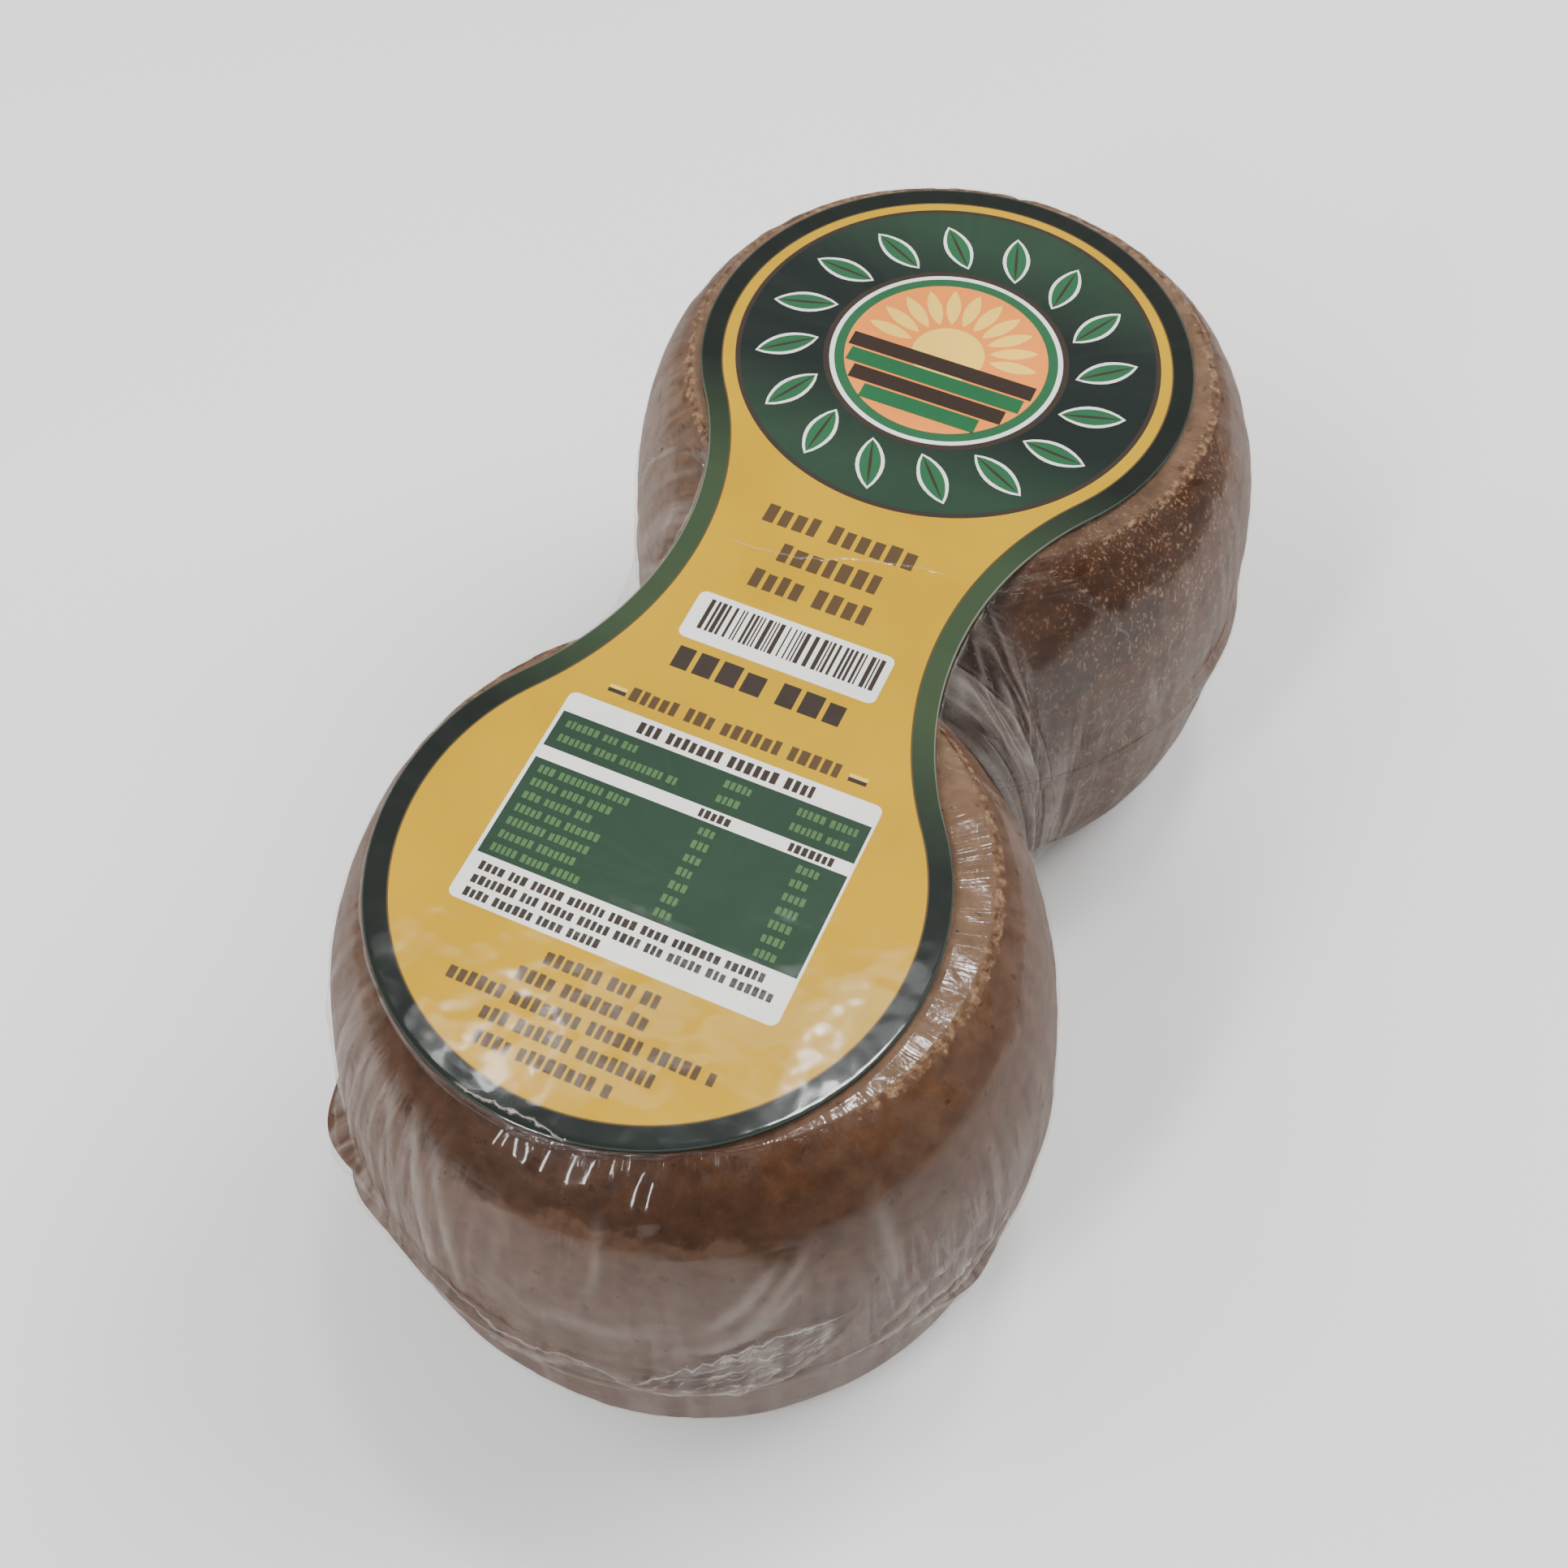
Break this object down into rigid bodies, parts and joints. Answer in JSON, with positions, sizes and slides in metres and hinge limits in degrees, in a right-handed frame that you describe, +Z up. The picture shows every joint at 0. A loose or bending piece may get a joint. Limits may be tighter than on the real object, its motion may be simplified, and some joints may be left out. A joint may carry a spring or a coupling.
{
  "type": "shrink-wrapped round panela sugar blocks",
  "caption": "Round blocks of moulded brown cane sugar side by side under clear shrink film, with a peanut-shaped card label across their tops.",
  "frame": {"origin": "on the surface the pack rests on, below the middle of the pack's bounding box", "axes": "+Z up through the label, +Y along the pack towards the label's round emblem, +X across the pack"},
  "size_m": [0.0712, 0.1356, 0.0517],
  "materials": {
    "cane_sugar": "hard brown sugar, glossy where the film clings and dull with fine crystals elsewhere",
    "printed_card": "smooth coated card with flat fields of print",
    "clear_film": "clear glossy shrink film with fine pleats"
  },
  "bodies": {
    "root": {"front_block_upper": "cane_sugar", "front_block_lower": "cane_sugar", "rear_block_upper": "cane_sugar", "rear_block_lower": "cane_sugar", "label_card": "printed_card", "film_web": "clear_film"}
  },
  "joints": []
}
